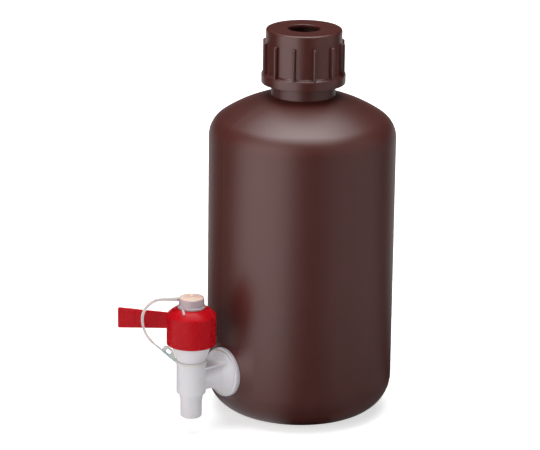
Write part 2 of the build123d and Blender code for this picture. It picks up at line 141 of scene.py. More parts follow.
# %% [markdown]
# ## Turning on a lathe
# Almost every part of a bottle and a tap is round, so the work is done as on a lathe. A small plane is merged
# to a single vertex, the vertex is extruded along half of the section, and the section is spun right round its
# axis. Doubles are merged and the normals are worked out again, because a spin can turn a shape inside out.

# %% A lathe, and a saw for flat shapes
def start_vertex(name, point):
    """A new object with one vertex at this point, in edit mode."""
    select_only()
    bpy.ops.mesh.primitive_plane_add(size=0.001, location=point * MM)
    piece = bpy.context.object
    piece.name = name
    edit()
    bpy.ops.mesh.merge(type="CENTER")
    return piece


def draw(points):
    """Extrude the selected vertex along these points, then back to the first."""
    for here, there in zip(points, points[1:] + points[:1]):
        bpy.ops.mesh.extrude_region_move(TRANSFORM_OT_translate={"value": (there - here) * MM})
    bpy.ops.mesh.select_all(action="SELECT")
    bpy.ops.mesh.remove_doubles(threshold=1e-6)


def settle(piece, sharp_deg=35):
    """Clean the mesh, turn its faces outwards, shade it smooth between sharp edges, and bake its place in."""
    edit()
    bpy.ops.mesh.select_all(action="SELECT")
    bpy.ops.mesh.remove_doubles(threshold=1e-6)
    bpy.ops.mesh.dissolve_degenerate(threshold=1e-6)
    bpy.ops.mesh.normals_make_consistent(inside=False)
    leave()
    select_only(piece)
    bpy.ops.object.transform_apply(location=True, rotation=True, scale=True)
    bpy.ops.object.shade_smooth_by_angle(angle=radians(sharp_deg))
    return piece


def turned(name, outline, foot=bottle_axis, along=UP, steps=96, sharp_deg=35):
    """A solid of revolution. The outline gives (radius, height) round an axis through foot."""
    points = [foot + OUT * p.x + along * p.y for p in outline]
    piece = start_vertex(name, points[0])
    draw(points)
    bpy.ops.mesh.spin(steps=steps, angle=2 * pi, center=foot * MM, axis=along)
    return settle(piece, sharp_deg)


def sawn(name, outline, foot, out, thickness):
    """An upright plate, centred on foot. The outline gives (reach, height) from there."""
    side = out.cross(UP).normalized()
    points = [foot + out * p.x + UP * p.y - side * thickness / 2 for p in outline]
    piece = start_vertex(name, points[0])
    draw(points)
    bpy.ops.mesh.edge_face_add()
    bpy.ops.mesh.extrude_region_move(TRANSFORM_OT_translate={"value": side * thickness * MM})
    return settle(piece)


print("lathe and saw ready")

# %% [markdown]
# A few jobs come back on many pieces: softening edges with a bevel that is applied at once, cutting or
# welding two solids with a Boolean, and joining shells that only touch. They are kept small.

# %% Bevel, boolean and join
def apply(piece, kind, **settings):
    select_only(piece)
    modifier = piece.modifiers.new(kind.title(), kind)
    for key, value in settings.items():
        setattr(modifier, key, value)
    bpy.ops.object.modifier_apply(modifier=modifier.name)


def soften(piece, width, segments=3, sharp_deg=35):
    """Round the edges that are sharper than this angle."""
    apply(piece, "BEVEL", width=width * MM, segments=segments, limit_method="ANGLE",
          angle_limit=radians(sharp_deg), use_clamp_overlap=True)
    return settle(piece, sharp_deg)


def carve(piece, tool, operation="DIFFERENCE"):
    apply(piece, "BOOLEAN", object=tool, operation=operation, solver="EXACT")
    bpy.data.objects.remove(tool)


def join(name, *pieces):
    """Make one object of several closed shells."""
    select_only(*pieces)
    bpy.ops.object.join()
    joined = bpy.context.object
    joined.name = name
    return joined


def report(piece):
    faces = len(piece.data.polygons)
    size = [round(v * 1000, 1) for v in piece.dimensions]
    print(f"{piece.name}: {faces} faces, {size} mm")


print("bevel, boolean and join ready")

# %% [markdown]
# ## The bottle
# The bottle is blow-moulded: one skin of polyethylene about 2 mm thick, with large soft radii at the foot and
# a shoulder that is part of a sphere. A lathe is the honest way to make it, with a fine spin, because its long
# highlights show every facet. The outside and the hollow are turned as two solids.

# %% Turn the bottle
bottle_r, wall, heel_r, shoulder_r = 83.0, 2.0, 32.0, 22.0
side_heights = (80.0, 140.0, 200.0)
dome_r, dome_z = 130.0, 163.12
neck_r, neck_bore, neck_top = 28.3, 25.8, 344.0


def dome_height(r, skin):
    """Height of the spherical shoulder at this radius, this far inside the outer skin."""
    return dome_z + sqrt((dome_r - skin) ** 2 - r * r)


def dome_line(r_from, r_to, skin, count=18):
    """Points along the spherical shoulder, between two radii."""
    reaches = [r_from + (r_to - r_from) * k / count for k in range(count + 1)]
    return [(r, dome_height(r, skin)) for r in reaches]


def shoulder_arc(skin, count=14):
    """The round between the upright side and the sphere: tangent to both, from the side to the sphere."""
    radius = shoulder_r - skin
    centre_r = bottle_r - shoulder_r
    centre_z = dome_z + sqrt((dome_r - shoulder_r) ** 2 - centre_r ** 2)
    last = atan2(centre_z - dome_z, centre_r)
    return [(centre_r + radius * cos(last * k / count), centre_z + radius * sin(last * k / count))
            for k in range(count + 1)]


def heel_arc(skin, turns_deg):
    """The round between the foot and the upright side."""
    radius = heel_r - skin
    return [(bottle_r - heel_r + radius * sin(radians(a)), heel_r - radius * cos(radians(a)))
            for a in turns_deg]


outer_round, inner_round = shoulder_arc(0.0), shoulder_arc(wall)
outer = (
    [(0, 6.0), (33.0, 6.0, 4.0), (44.0, 0.0, 3.0), (50.0, 0.0)]
    + heel_arc(0.0, range(0, 91, 6))
    + [(bottle_r, z) for z in side_heights]
    + outer_round
    + dome_line(outer_round[-1][0] - 1, neck_r + 4, 0.0)
    + [(neck_r + 0.3, dome_height(neck_r, 0.0) + 0.6), (neck_r, dome_height(neck_r, 0.0) + 2.4),
       (neck_r, neck_top, 0.6), (0, neck_top)]
)
hollow = (
    [(0, neck_top + 4), (neck_bore, neck_top + 4), (neck_bore, dome_height(neck_bore, wall) + 1.0)]
    + dome_line(neck_bore + 3, inner_round[-1][0] - 1, wall)
    + inner_round[::-1]
    + [(bottle_r - wall, z) for z in side_heights[::-1]]
    + heel_arc(wall, range(90, -1, -6))
    + [(50.0, wall), (44.6, wall, 3.0), (33.4, 8.0, 4.0), (0, 8.0)]
)
bottle = turned("carboy_bottle", rounded(outer, step_deg=12), steps=180, sharp_deg=50)
core = turned("hollow", rounded(hollow, step_deg=12), steps=180, sharp_deg=50)
report(bottle)

# %% [markdown]
# The spigot needs a flat face to seal against, so the mould has a round land low on the side. Its flank falls
# back into the skin at 45 degrees, as on any part that has to leave its mould. It is welded on with a Boolean,
# then the hollow, the land's own pocket and the shank's hole are cut out, so that the wall keeps its thickness.

# %% Weld on the land, hollow the bottle and drill it
shank_out = Vector((0, -1, 0))
land = turned("land", rounded([(0, 71.5), (36.3, 71.5), (22.3, 85.5, 0.4), (0, 85.5)]),
              shank_axis, shank_out, steps=96)
carve(bottle, land, "UNION")
pocket = turned("pocket", rounded([(0, 71.4), (32.86, 71.4), (21.26, 83.0), (0, 83.0)]),
                shank_axis, shank_out, steps=96)
drill = turned("drill", rounded([(0, 60), (12.5, 60), (12.5, 90), (0, 90)]), shank_axis, shank_out, steps=64)
for tool in (core, pocket, drill):
    carve(bottle, tool)
settle(bottle, 40)
report(bottle)

# %% [markdown]
# The neck carries a thread that the cap runs on, one turn every six millimetres. A small section is extruded
# a little way up and turned a little way round, over and over, which is just how a thread is described. The
# thread is a shell of its own that sits a little way into the wall.

# %% Cut the threads on the neck and in the cap
THREAD_RISE, THREAD_STEPS = 6.0, 48


def thread(name, root_r, crest_r, height, from_z, turns):
    """A helical ridge. Its section is a blunt tooth from root_r to crest_r, this high at its root."""
    tooth = [(root_r, 0), (crest_r, height * 0.3), (crest_r, height * 0.7), (root_r, height)]
    points = [OUT * r + UP * (from_z + z) for r, z in tooth]
    piece = start_vertex(name, points[0])
    draw(points)
    bpy.ops.mesh.edge_face_add()
    bpy.ops.mesh.select_mode(type="FACE")
    for _ in range(int(THREAD_STEPS * turns)):
        bpy.ops.mesh.extrude_region_move(
            TRANSFORM_OT_translate={"value": UP * THREAD_RISE * MM / THREAD_STEPS})
        bpy.ops.transform.rotate(value=-2 * pi / THREAD_STEPS, orient_axis="Z", center_override=(0, 0, 0))
    bpy.ops.mesh.select_mode(type="VERT")
    return settle(piece, 40)


neck_thread = thread("neck_thread", 28.1, 30.3, 2.4, 318.0, 2.5)
report(neck_thread)

# %% [markdown]
# ## The screw cap
# The cap is injection moulded: a plain cup with a band round its foot, a hole in its lid and twelve grip ribs.
# The cup is turned. The hole's edge and the rim are rounded, because they carry the brightest lines of light
# on the whole cap.

# %% Turn the cap
cap_shell = turned("cap_shell", rounded([
    (14.1, 346.7, 0.4), (14.1, 349.7, 0.8), (33.6, 349.7, 2.0), (33.6, 311.4, 0.8), (37.2, 309.6, 1.6),
    (37.2, 301.3, 0.5), (31.0, 301.3, 0.4), (31.0, 342.4, 0.3), (28.9, 343.0, 0.3),
    (31.0, 343.6, 0.3), (31.0, 346.7, 0.6)], step_deg=18), steps=144)
cap_thread = thread("cap_thread", 31.1, 28.9, 2.2, 303.2, 4.5)
report(cap_shell)

# %% [markdown]
# One rib is modelled and copied round the cap. It starts as a cube that reaches from inside the wall to its
# crest, its crest is pinched in edit mode to give the flanks their draft, and a wide bevel rounds it all over,
# so that its top comes to the small bright nose that such ribs have.

# %% Model one rib and copy it round
RIBS, FIRST_RIB_DEG = 12, 6.0
RIB_CENTRE, RIB_SIZE = (0.03485, 0, 0.3221), (0.0045, 0.0034, 0.0336)
CREST_FOOT, CREST_DRAFT = (0.0371, 0, 0.3053), (1, 0.72, 0.97)


def grip_rib():
    select_only()
    bpy.ops.mesh.primitive_cube_add(size=1, location=RIB_CENTRE, scale=RIB_SIZE)
    rib = bpy.context.object
    rib.name = "grip_rib"
    bpy.ops.object.transform_apply(location=True, rotation=True, scale=True)
    edit()
    bpy.ops.mesh.select_all(action="DESELECT")
    leave()
    for vertex in rib.data.vertices:
        vertex.select = vertex.co.x > RIB_CENTRE[0]
    edit()
    bpy.ops.transform.resize(value=CREST_DRAFT, center_override=CREST_FOOT)
    leave()
    return soften(rib, 1.0, segments=4)


ribs = []
first_rib = grip_rib()
for k in range(RIBS):
    select_only(first_rib)
    bpy.ops.object.duplicate()
    rib = bpy.context.object
    rib.rotation_euler.z = radians(FIRST_RIB_DEG + k * 360 / RIBS)
    bpy.ops.object.transform_apply(location=True, rotation=True, scale=True)
    ribs.append(rib)
bpy.data.objects.remove(first_rib)
cap = join("ribbed_cap", *ribs, cap_thread, cap_shell)
report(cap)

# %% [markdown]
# ## The stopper
# Under the cap sits a loose stopper, an open cup whose flange rests on the neck. Only its dark floor is seen,
# through the hole in the cap, but it comes up with the cap and so it is made whole.

# %% Turn the stopper
stopper = turned("neck_plug", rounded([
    (0, 326.0), (24.8, 326.0, 0.6), (25.75, 340.0), (25.75, 344.0), (30.0, 344.0, 0.4), (30.0, 346.55, 0.6),
    (23.15, 346.55, 0.5), (22.25, 328.6, 1.0), (0, 328.6)]), steps=96)
report(stopper)

# %% [markdown]
# ## The spigot's body
# The white body is one moulding. An upright barrel holds the valve, a level inlet flares out to the flange
# that the seal sits behind, and the two meet like a pipe tee. Both are turned as solid shapes, welded, and
# then bored, in the order in which a machinist would do it.

# %% Turn, weld and bore the body
barrel = turned("barrel", rounded([
    (0, 16.0), (8.6, 16.0, 0.5), (9.6, 17.1, 0.5), (9.6, 32.3, 0.3), (10.2, 32.9, 0.3), (10.2, 37.8, 0.4),
    (12.2, 37.8, 0.3), (13.0, 38.6, 0.5), (13.0, 69.0, 8.0), (17.5, 82.0, 3.0), (17.5, 84.4, 0.4),
    (15.0, 84.4, 0.3), (15.0, 87.2, 0.3), (15.8, 88.0, 0.3), (15.0, 88.8, 0.3), (15.0, 92.0, 0.3),
    (0, 92.0)]), tap_axis, steps=96)
inlet = turned("inlet", rounded([
    (0, 70.5), (12.0, 70.5, 0.6), (12.0, 87.5), (21.7, 87.5, 0.4), (21.7, 90.0, 0.5), (19.4, 90.0, 0.2),
    (19.0, 90.9, 0.4), (17.1, 92.6, 3.0), (13.4, 96.6, 8.0), (11.2, 105.0, 8.0), (11.2, 121.0), (0, 121.0)],
    step_deg=8), shank_axis, shank_out, steps=96)
carve(barrel, inlet, "UNION")
key_bore = turned("key_bore", rounded([(0, 38.6), (9.55, 38.6), (9.55, 100), (0, 100)]), tap_axis, steps=64)
outlet_bore = turned("outlet_bore", rounded([(0, 10), (7.0, 10), (7.0, 45), (0, 45)]), tap_axis, steps=64)
inlet_bore = turned("inlet_bore", rounded([(0, 60), (7.5, 60), (7.5, 118), (0, 118)]),
                    shank_axis, shank_out, steps=64)
for tool in (key_bore, outlet_bore, inlet_bore):
    carve(barrel, tool)
settle(barrel, 32)
report(barrel)

# %% [markdown]
# A moulding never has a sharp inside corner where two pipes meet, and a bevel on the edge of a Boolean breaks
# up. So the fillet is made as what it is: the path of a ball that rolls round the joint and touches both
# pipes. A torus has the right faces for it, and each of its vertices is put in its place on that path. Under
# the inlet the barrel is slimmer, so the ball eases to a smaller one there. A thin level web lies over the
# inlet: a plain plate that reaches from inside the barrel to the flange.

# %% Roll a fillet round the tee
RING, ARC = 96, 12
INLET_R, BARREL_R, BARREL_STEP = 11.2, 13.0, 2.8
BALL_R, BALL_STEP, SINK = 2.8, 1.2, 1.2


def ease(value, low, high):
    t = min(1, max(0, (value - low) / (high - low)))
    return t * t * (3 - 2 * t)


def fillet_point(turn, k):
    """A point of the fillet, at this turn round the inlet. From 0 to ARC, k runs from inlet to barrel."""
    under = ease(-sin(turn), 0.55, 0.95)
    ball, barrel_r = BALL_R - BALL_STEP * under, BARREL_R - BARREL_STEP * under
    across, rise = cos(turn), sin(turn)
    reach = sqrt((barrel_r + ball) ** 2 - ((INLET_R + ball) * across) ** 2)
    centre = Vector(((INLET_R + ball) * across, reach, (INLET_R + ball) * rise))
    on_inlet = Vector((INLET_R * across, reach, INLET_R * rise))
    on_barrel = Vector((centre.x * barrel_r / (barrel_r + ball),
                        centre.y * barrel_r / (barrel_r + ball), centre.z))
    if k <= ARC:
        spoke = (on_inlet - centre).slerp(on_barrel - centre, k / ARC)
        place = centre + spoke.normalized() * ball
    elif k == ARC + 1:
        place = on_barrel - Vector((on_barrel.x, on_barrel.y, 0)).normalized() * SINK
    else:
        place = on_inlet - Vector((across, 0, rise)) * SINK
    return (place + tap_axis + shank_axis) * MM


select_only()
bpy.ops.mesh.primitive_torus_add(major_segments=RING, minor_segments=ARC + 3, major_radius=0.013,
                                 minor_radius=0.002)
fillet = bpy.context.object
for index, vertex in enumerate(fillet.data.vertices):
    vertex.co = fillet_point(2 * pi * (index // (ARC + 3)) / RING, index % (ARC + 3))
settle(fillet, 60)
select_only()
bpy.ops.mesh.primitive_cube_add(size=1, location=(0, -0.1064, 0.0617), scale=(0.024, 0.0320, 0.0018))
web = bpy.context.object
bpy.ops.object.transform_apply(location=True, rotation=True, scale=True)
soften(web, 0.5)
spigot = join("spigot_moulding", fillet, web, barrel)
report(spigot)

# %% [markdown]
# A soft ring seals the flange against the bottle's land. It stands out a little past the flange all round, and
# that thin grey line is all that shows of it.

# %% Turn the gasket
gasket = turned("gasket_ring", rounded([
    (12.3, 85.5, 0.2), (22.0, 85.5, 0.5), (22.0, 87.5, 0.5), (12.3, 87.5, 0.2)]),
    shank_axis, shank_out, steps=96)
report(gasket)

# %% [markdown]
# ## The lever
# The red handle is a cap that snaps over the barrel, with a flat paddle on its side and a stud on top that
# the outlet's cap is parked on. The cap is turned with its hollow inside, and a hexagon for the valve's stem
# is cut out of its hub. Its crown is a dome that ends in a shallow seat for that cap.

# %% Turn the knob and saw out the paddle
LEVER_DEG = 230.0
PADDLE_THICKNESS, PAD_THICKNESS = 3.0, 3.5
crown_r, crown_from, crown_z = 21.0, 5.26, 97.46
crown = [(crown_from + crown_r * cos(radians(a)), crown_z + crown_r * sin(radians(a)))
         for a in range(42, 67, 3)]
knob = turned("knob", rounded([
    (0, 118.7), (0, 92.5), (11.0, 92.5, 0.3), (11.0, 114.3, 0.5), (16.1, 112.8, 0.5), (16.1, 86.6, 0.3),
    (15.4, 85.9), (15.4, 85.0, 0.2), (17.9, 85.0, 0.3), (17.9, 111.4, 0.5), (19.7, 109.5, 0.5),
    (19.7, 83.8, 0.3), (21.8, 83.8, 0.5), (21.8, 110.4, 1.2), *crown, (12.75, 117.05, 0.25),
    (12.65, 116.5, 0.2), (9.6, 116.5, 0.2), (9.6, 124.7, 0.6), (6.8, 124.7, 0.3), (6.8, 118.7, 0.3)],
    step_deg=12), tap_axis, steps=120)
select_only()
bpy.ops.mesh.primitive_cylinder_add(vertices=6, radius=0.00758, depth=0.0164, location=(0, -0.1232, 0.0975))
hexagon = bpy.context.object
hexagon.rotation_euler.z = radians(LEVER_DEG + 30)
carve(knob, hexagon)
paddle = sawn("paddle", rounded([
    (12.0, 97.5), (64.4, 97.5, 1.2), (64.4, 115.7, 1.2), (21.8, 111.9), (12.0, 111.0)]),
    tap_axis, outward(LEVER_DEG), PADDLE_THICKNESS)
pad = sawn("pad", rounded([
    (49.4, 97.5), (64.4, 97.5, 1.2), (64.4, 115.7, 1.2), (49.4, 114.35)]),
    tap_axis, outward(LEVER_DEG), PAD_THICKNESS)
for plate in (paddle, pad):
    soften(plate, 0.55)
lever = join("lever_handle", paddle, pad, settle(knob, 30))
report(lever)

# %% [markdown]
# ## The outlet's cap and its tether
# A small cap of soft natural polyethylene is parked on the lever's stud and held to the barrel by a strap, so
# that it can't be lost. The cap is turned, with a low button on top, and it has a lug for the strap. A narrow
# pull leaves its rim aslant and bends down over the knob.

# %% Turn the outlet cap
TETHER_DEG, PULL_DEG, PULL_AIM_DEG = 242.0, 278.0, 332.0
outlet_cup = turned("outlet_cup", rounded([
    (0, 125.0), (9.65, 125.0, 0.5), (9.65, 116.8, 0.2), (12.2, 116.8, 0.4), (12.2, 118.5, 0.5),
    (11.25, 119.4, 0.6), (11.25, 126.1, 0.9), (7.9, 126.8, 0.5), (5.7, 126.8, 0.2), (5.4, 126.45, 0.2),
    (5.1, 126.8, 0.2), (2.6, 126.8, 0.4), (2.6, 129.4, 1.7), (0, 129.4)]), tap_axis, steps=96)
lug = sawn("lug", rounded([(10.3, 123.4), (13.1, 123.4), (13.1, 126.6), (10.3, 126.6)]),
           tap_axis, outward(TETHER_DEG), 3.6)
pull_from = tap_axis + outward(PULL_DEG) * 11.4
pull = sawn("pull", rounded([
    (-0.6, 119.2, 0.3), (2.0, 118.8, 0.8), (5.0, 117.6, 1.2), (8.6, 116.0, 0.5), (8.6, 114.85, 0.3),
    (4.6, 117.05, 0.8), (2.0, 117.3), (-0.6, 117.3, 0.2)]), pull_from, outward(PULL_AIM_DEG), 1.9)
outlet_cap = join("outlet_cover", soften(lug, 0.35), soften(pull, 0.5, 4), outlet_cup)
report(outlet_cap)

# %% [markdown]
# The strap leaves the cap as a stout root, thins in two steps as it runs out level, turns over in one wide
# bend, thins once more and comes back down to the barrel. Extruding one end face of a small block follows it
# well: straight runs are extrusions, and the bends are spins of that face about their centres.

# %% Extrude the strap along its loop
strap_out = outward(TETHER_DEG)
strap_side = strap_out.cross(UP)
SLOPE_DEG = 48.0
ROOT_LOW, ROOT_TOP, ROOT_HALF_WIDTH = 123.4, 126.6, 1.8
BEND_FROM, BEND_TO, BEND_Z = 26.5, 11.8, 108.5
TAIL, TAIL_RUNS = 25.585, 4


def strap_point(reach, height):
    return (tap_axis + strap_out * reach + UP * height) * MM


def run(reach, height):
    bpy.ops.mesh.extrude_region_move(
        TRANSFORM_OT_translate={"value": (strap_out * reach + UP * height) * MM})


def thin(scale, reach, height):
    """Scale the strap's end face about this point of its loop."""
    bpy.ops.transform.resize(value=scale, center_override=strap_point(reach, height))


root_corners = [(-ROOT_HALF_WIDTH, ROOT_LOW), (ROOT_HALF_WIDTH, ROOT_LOW),
                (ROOT_HALF_WIDTH, ROOT_TOP), (-ROOT_HALF_WIDTH, ROOT_TOP)]
points = [tap_axis + strap_out * 13.0 + strap_side * side + UP * z for side, z in root_corners]
strap = start_vertex("strap", points[0])
draw(points)
bpy.ops.mesh.edge_face_add()
bpy.ops.mesh.select_mode(type="FACE")
run(5.0, 0)
thin((0.86, 0.86, 0.80), 18.0, ROOT_TOP)
run(8.5, 0)
thin((0.84, 0.84, 0.86), BEND_FROM, ROOT_TOP)
bpy.ops.mesh.spin(steps=16, angle=pi / 2, center=strap_point(BEND_FROM, BEND_Z), axis=strap_side)
bpy.ops.mesh.spin(steps=9, angle=radians(SLOPE_DEG), center=strap_point(BEND_TO, BEND_Z), axis=strap_side)
thin((0.72, 0.72, 0.72), 33.0, 84.9)
for _ in range(TAIL_RUNS):
    run(-TAIL * sin(radians(SLOPE_DEG)) / TAIL_RUNS, -TAIL * cos(radians(SLOPE_DEG)) / TAIL_RUNS)
bpy.ops.mesh.select_mode(type="VERT")
settle(strap, 50)
report(strap)

# %% [markdown]
# The strap ends in a small plate with a slot, and in a ring that clips round the barrel under its flare. The
# plate lies along the strap, so it is drawn in the strap's own sloping direction.

# %% Saw the slotted plate and turn the ring
slope = Vector((sin(radians(SLOPE_DEG)), cos(radians(SLOPE_DEG))))
square = Vector((-slope.y, slope.x))
foot = Vector((14.2, 67.6))


def on_slope(corners):
    """Corners given along the strap and square to it, from the strap's foot."""
    return [(*(foot + slope * c[0] + square * c[1]), *c[2:]) for c in corners]


plate = sawn("plate", rounded(on_slope([
    (-0.5, -0.8), (17.0, -0.8, 3.0), (17.0, 6.4, 3.2), (9.0, 6.4, 3.0), (-0.2, 1.1)])),
    tap_axis, strap_out, 2.2)
slot_tool = sawn("slot", rounded(on_slope([
    (8.0, 1.6, 1.4), (13.6, 1.6, 1.4), (13.6, 4.6, 1.4), (8.0, 4.6, 1.4)])), tap_axis, strap_out, 6.0)
carve(plate, slot_tool)
ring = turned("ring", rounded([
    (13.3, 66.4, 0.2), (14.3, 66.4, 0.4), (14.3, 68.8, 0.4), (13.3, 68.8, 0.2)]), tap_axis, steps=72)
tether = join("cap_tether", soften(plate, 0.3), ring, soften(strap, 0.25, 2, 50))
report(tether)

# %% [markdown]
# ## Finishes
# Every finish is worked out by nodes from the place on the object, in metres, so it needs no picture. Node
# graphs are hard to read as lists of links, so a small class wraps a socket: a sum or a product of two signals
# adds the Math node for it, and the recipe below adds any other node by its type.

# %% A signal that can be added and multiplied
class Signal:
    def __init__(self, recipe, socket):
        self.recipe, self.socket = recipe, socket

    def maths(self, operation, *others, first=None):
        values = [self, *others] if first is None else [first, self]
        return self.recipe.node("ShaderNodeMath", {"operation": operation}, dict(enumerate(values)))

    def __add__(self, other): return self.maths("ADD", other)
    def __sub__(self, other): return self.maths("SUBTRACT", other)
    def __mul__(self, other): return self.maths("MULTIPLY", other)
    def __truediv__(self, other): return self.maths("DIVIDE", other)
    def __pow__(self, other): return self.maths("POWER", other)
    def __abs__(self): return self.maths("ABSOLUTE")
    def __radd__(self, other): return self.maths("ADD", first=other)
    def __rsub__(self, other): return self.maths("SUBTRACT", first=other)
    def __rmul__(self, other): return self.maths("MULTIPLY", first=other)
    def limited(self): return self.maths("MAXIMUM", 0).maths("MINIMUM", 1)


class Recipe:
    """A Principled shader. Its fixed numbers are set at once, and its patterns are fed in."""

    def __init__(self, name, roughness, **fixed):
        self.material = bpy.data.materials.new(name)
        self.material.use_nodes = True
        self.tree = self.material.node_tree
        self.shader = self.tree.nodes["Principled BSDF"]
        self.shader.inputs["Roughness"].default_value = roughness
        for key, value in fixed.items():
            self.shader.inputs[key.replace("_", " ")].default_value = value
        self.place = self.node("ShaderNodeTexCoord", output="Object")
        split = self.node("ShaderNodeSeparateXYZ", sockets={0: self.place}).socket.node.outputs
        self.x, self.y, self.z = (Signal(self, split[axis]) for axis in "XYZ")

    def node(self, kind, settings=None, sockets=None, output=0):
        made = self.tree.nodes.new(kind)
        for key, value in (settings or {}).items():
            setattr(made, key, value)
        for key, value in (sockets or {}).items():
            if isinstance(value, Signal):
                self.tree.links.new(value.socket, made.inputs[key])
            else:
                made.inputs[key].default_value = value
        return Signal(self, made.outputs[output])

    def noise(self, size, detail=2.0):
        """Soft noise from 0 to 1, with features of about this size in metres."""
        return self.node("ShaderNodeTexNoise", {}, {"Vector": self.place, "Scale": 1 / size,
                                                    "Detail": detail})

    def blend(self, share, one, other):
        return self.node("ShaderNodeMix", {"data_type": "RGBA"}, {0: share, 6: one, 7: other}, output=2)

    def feed(self, name, signal):
        self.tree.links.new(signal.socket, self.shader.inputs[name])

    def relief(self, height):
        """A bump from a height given in metres."""
        bump = self.node("ShaderNodeBump", {}, {"Height": height, "Distance": 1.0, "Strength": 1.0})
        self.feed("Normal", bump)


def paint(red, green, blue):
    """A colour written as on a screen, 0 to 255, as the linear one that a shader wants."""
    screen = (red, green, blue)
    return tuple(c / 255 / 12.92 if c < 11 else ((c / 255 + 0.055) / 1.055) ** 2.4 for c in screen) + (1,)


print("one brown is", [round(c, 3) for c in paint(70, 29, 23)])

# %% [markdown]
# The brown bottle is satin, not glossy: its highlights are wide and soft. Blow moulding leaves long shallow
# waves in the skin, a fine tooth from the sandblasted mould, and a hairline where the two halves of the mould
# met. That line runs up one side, over the shoulder, and down the other.

# %% Brown bottle
PARTING_DEG = 265.0
SEAM_HALF_WIDTH, SEAM_HEIGHT, TOOTH_HEIGHT = 0.00045, 0.00010, 0.000004


def brown_plastic(name, roughness, waves, parting):
    recipe = Recipe(name, roughness, Specular_IOR_Level=0.62)
    cloud = recipe.noise(0.060, 3.0)
    tooth = recipe.noise(0.0006, 2.0)
    recipe.feed("Base Color", recipe.blend(cloud, paint(70, 29, 23), paint(77, 32, 26)))
    height = recipe.noise(0.045, 1.0) * waves + tooth * TOOTH_HEIGHT
    gloss = roughness - 0.03 + cloud * 0.06
    if parting:
        aside = abs(recipe.x * sin(radians(PARTING_DEG)) - recipe.y * cos(radians(PARTING_DEG)))
        seam = (1 - aside / SEAM_HALF_WIDTH).limited()
        height = height + seam * SEAM_HEIGHT
        gloss = gloss - seam * 0.08
    recipe.feed("Roughness", gloss)
    recipe.relief(height)
    return recipe.material


bottle_brown = brown_plastic("bottle_brown", 0.40, 0.00018, parting=True)
cap_brown = brown_plastic("cap_brown", 0.31, 0.000006, parting=False)
stopper_brown = brown_plastic("stopper_brown", 0.45, 0.00002, parting=False)

# %% [markdown]
# The lever is a brighter, glossier moulding, so its waves are smaller and its roughness lower. The white body
# and the natural cap let a little light in, which softens their shadows; that is a fixed share of subsurface
# scattering.

# %% Lever red, spigot white and natural plastic
WAVE_HEIGHT, GRAIN_HEIGHT = 0.00002, 0.000002
# Height above which the outlet cap's top face gets a painted highlight, and how softly it fades in.
LIT_TOP_Z, LIT_TOP_FADE = 0.1258, 0.0008


def bright_plastic(name, dark, light, roughness, **fixed):
    recipe = Recipe(name, roughness, **fixed)
    cloud = recipe.noise(0.018, 3.0)
    recipe.feed("Base Color", recipe.blend(cloud, dark, light))
    recipe.feed("Roughness", roughness - 0.04 + recipe.noise(0.004, 2.0) * 0.08)
    recipe.relief(recipe.noise(0.009, 1.0) * WAVE_HEIGHT + recipe.noise(0.0005) * GRAIN_HEIGHT)
    return recipe


lever_red = bright_plastic("lever_red", paint(184, 9, 22), paint(188, 12, 26), 0.27,
                           Specular_IOR_Level=0.12).material
spigot_white = bright_plastic("spigot_white", paint(226, 223, 227), paint(234, 231, 235), 0.34,
                              Subsurface_Weight=0.15, Subsurface_Scale=0.002).material
key_white = bright_plastic("key_white", paint(214, 212, 208), paint(224, 222, 218), 0.40).material
seal_grey = bright_plastic("seal_grey", paint(190, 186, 200), paint(202, 198, 210), 0.50).material
ring_black = bright_plastic("ring_black", paint(22, 22, 23), paint(30, 30, 31), 0.55).material

natural = bright_plastic("natural_cap", paint(188, 168, 174), paint(198, 180, 184), 0.30,
                         Subsurface_Weight=0.5, Subsurface_Scale=0.004)
# Painted light: the cap's top face is painted a lighter, warmer cream than its sides, where the overhead light
# falls on it.
painted_top_light = ((natural.z - LIT_TOP_Z) / LIT_TOP_FADE).limited()
skin = natural.blend(natural.noise(0.01), paint(186, 166, 172), paint(194, 176, 180))
natural.feed("Base Color", natural.blend(painted_top_light, skin, paint(238, 208, 192)))
natural_cap = natural.material
natural_strap = bright_plastic("natural_strap", paint(214, 211, 210), paint(224, 220, 218), 0.34,
                               Subsurface_Weight=0.5, Subsurface_Scale=0.003).material

# %% [markdown]
# Each piece now gets its finish, hides the part of the measured model that it stands for, and rides on the
# body that moves it. The strap is held by the barrel at one end and by the moving cap at the other; here it
# rides on no body and keeps the place it was built in. The nut, washer, valve key and ring keep the measured
# shapes and only get a finish.

# %% Finish, replace and ride
dressed = [
    (bottle, bottle_brown, "bottle", "vessel", "bottle_plastic"),
    (neck_thread, bottle_brown, None, "vessel", "bottle_plastic"),
    (cap, cap_brown, "screw_cap", "cap", "cap_plastic"),
    (stopper, stopper_brown, "neck_stopper", "stopper", "stopper_plastic"),
    (spigot, spigot_white, "spigot_body", "vessel", "spigot_plastic"),
    (gasket, seal_grey, "flange_gasket", "vessel", "gasket_rubber"),
    (lever, lever_red, "lever_knob", "lever", "lever_plastic"),
    (outlet_cap, natural_cap, "outlet_cap", "outlet_cap", "tether_plastic"),
    (tether, natural_strap, "tether", None, "tether_plastic"),
]
for piece, finish, node, body, slot in dressed:
    piece.data.materials.clear()
    piece.data.materials.append(finish)
    if node:
        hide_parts(node)
    if body:
        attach(piece, body)
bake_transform(tether)
for node, finish in {"lock_nut": spigot_white, "inner_washer": seal_grey, "valve_key": key_white,
                     "stem_oring": ring_black}.items():
    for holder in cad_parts[node].material_slots:
        holder.material = finish
print(len(dressed), "pieces dressed")

# %% [markdown]
# ## The studio
# The floor and the surroundings are white to the camera, to reflections and to light seen through a surface.
# Close to the object the floor is also lit by the lamps and only lifted a little, so it keeps the object's
# shadow, and further out it glows up to plain white.

